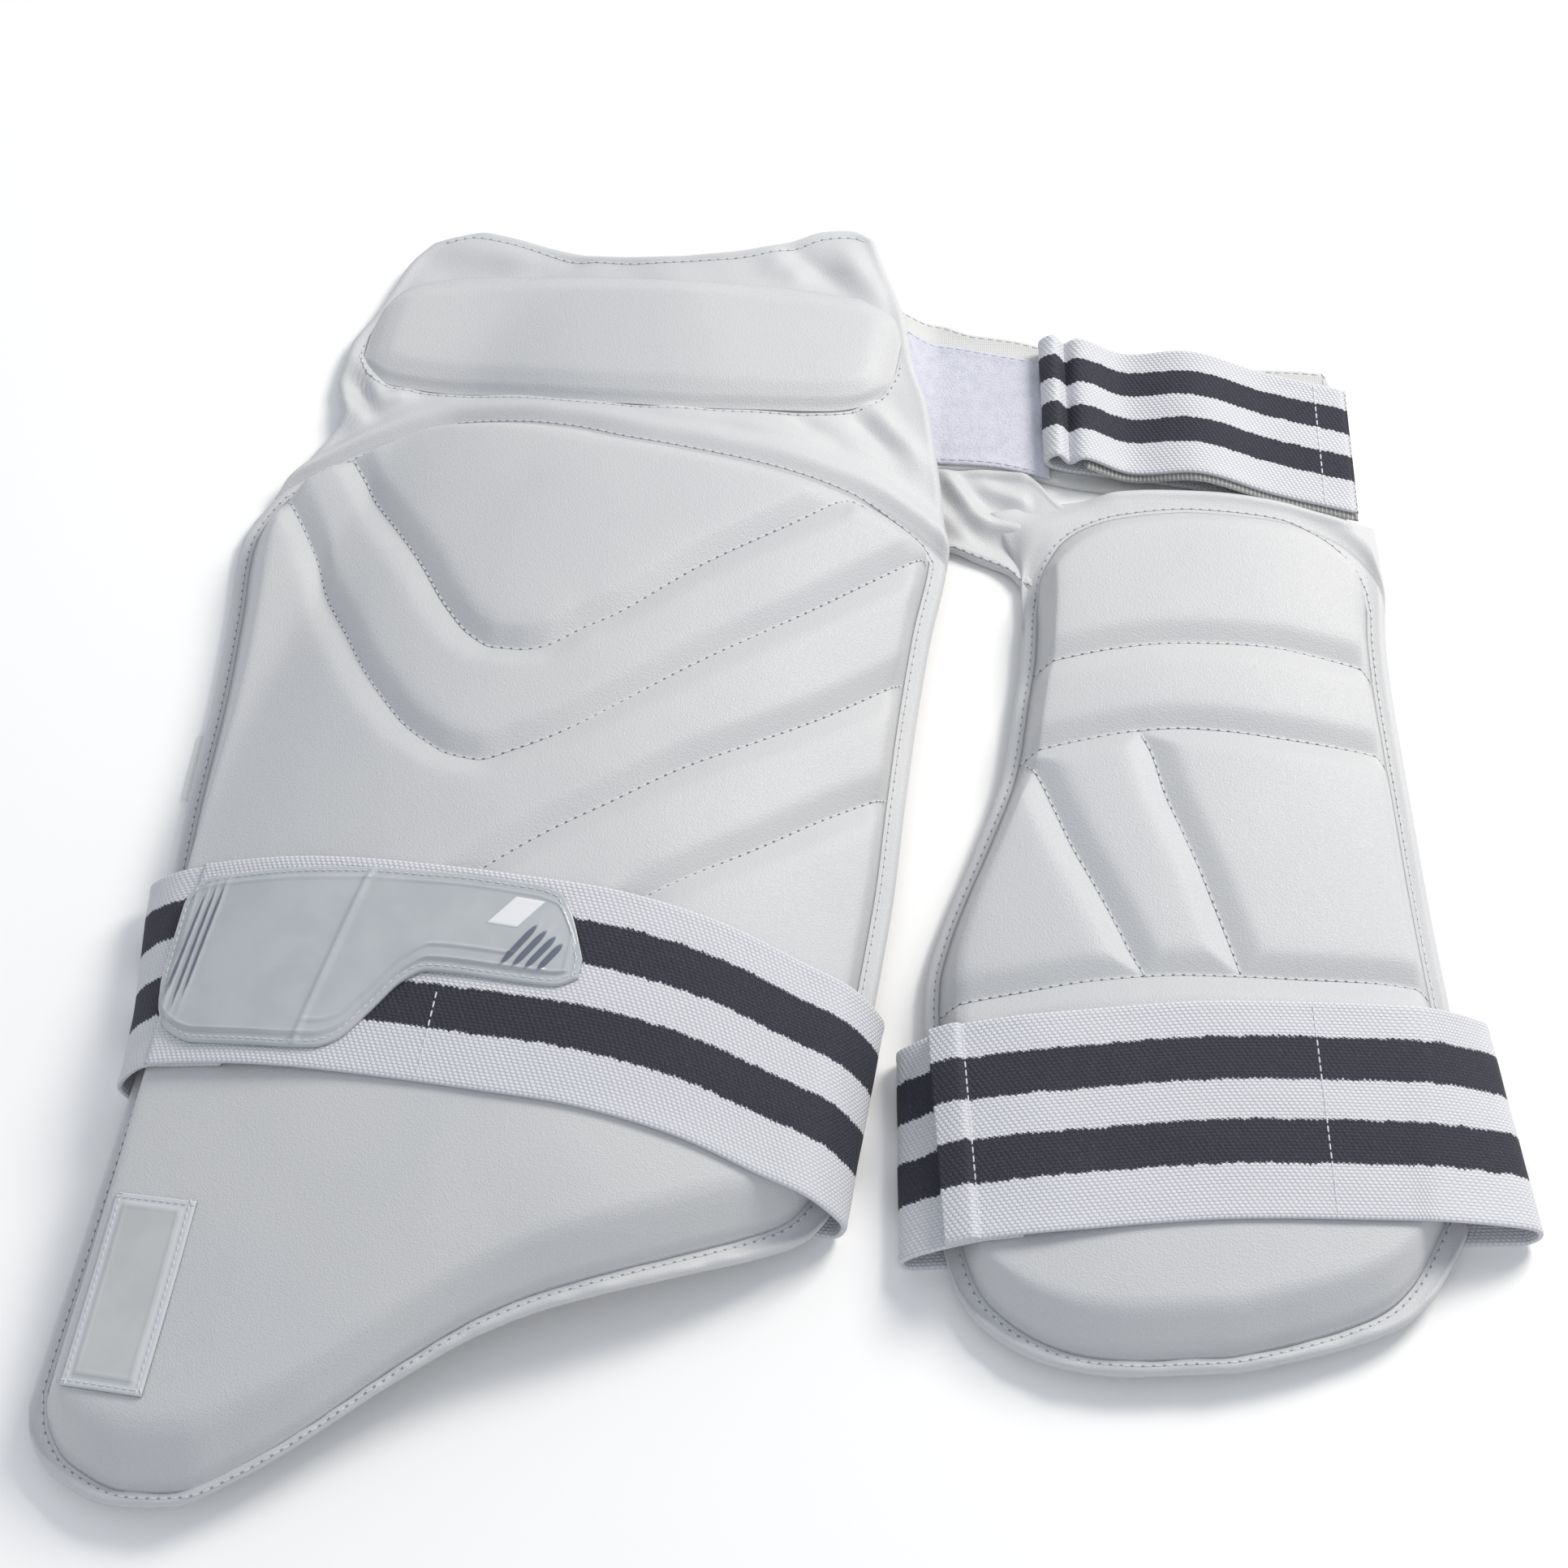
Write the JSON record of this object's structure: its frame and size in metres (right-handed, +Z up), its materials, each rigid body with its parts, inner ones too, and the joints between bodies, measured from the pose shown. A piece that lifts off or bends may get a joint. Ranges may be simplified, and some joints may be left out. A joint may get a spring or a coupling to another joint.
{
  "type": "cricket thigh guard",
  "caption": "Outer and inner thigh guards with moulded foam faces, joined by a waist belt, each with a striped elastic strap looped round it.",
  "frame": {"origin": "on the surface under it, below the middle of the whole set's outline", "axes": "+Z up off the surface, +Y towards the hip end and the waist belt, +X from the outer guard to the inner guard"},
  "size_m": [0.483, 0.5076, 0.0562],
  "materials": {
    "face_leather": "satin moulded synthetic leather",
    "panel_leather": "satin thin synthetic leather",
    "webbing": "woven elastic with two dark stripes",
    "badge_plate": "glossy moulded plate",
    "hook_loop": "brushed loop pile",
    "belt_cloth": "cream bound cloth",
    "label_tape": "plain ribbon"
  },
  "bodies": {
    "root": {"outer_carrier": "panel_leather", "outer_pad": "face_leather", "hip_pad": "face_leather", "outer_strap": "webbing", "strap_badge": "badge_plate", "leg_badge": "badge_plate", "size_label": "label_tape", "inner_carrier": "panel_leather", "inner_pad": "face_leather", "inner_strap": "webbing", "waist_belt": "belt_cloth", "loop_patch": "hook_loop", "bridge_web": "panel_leather", "waist_strap": "webbing"}
  },
  "joints": []
}
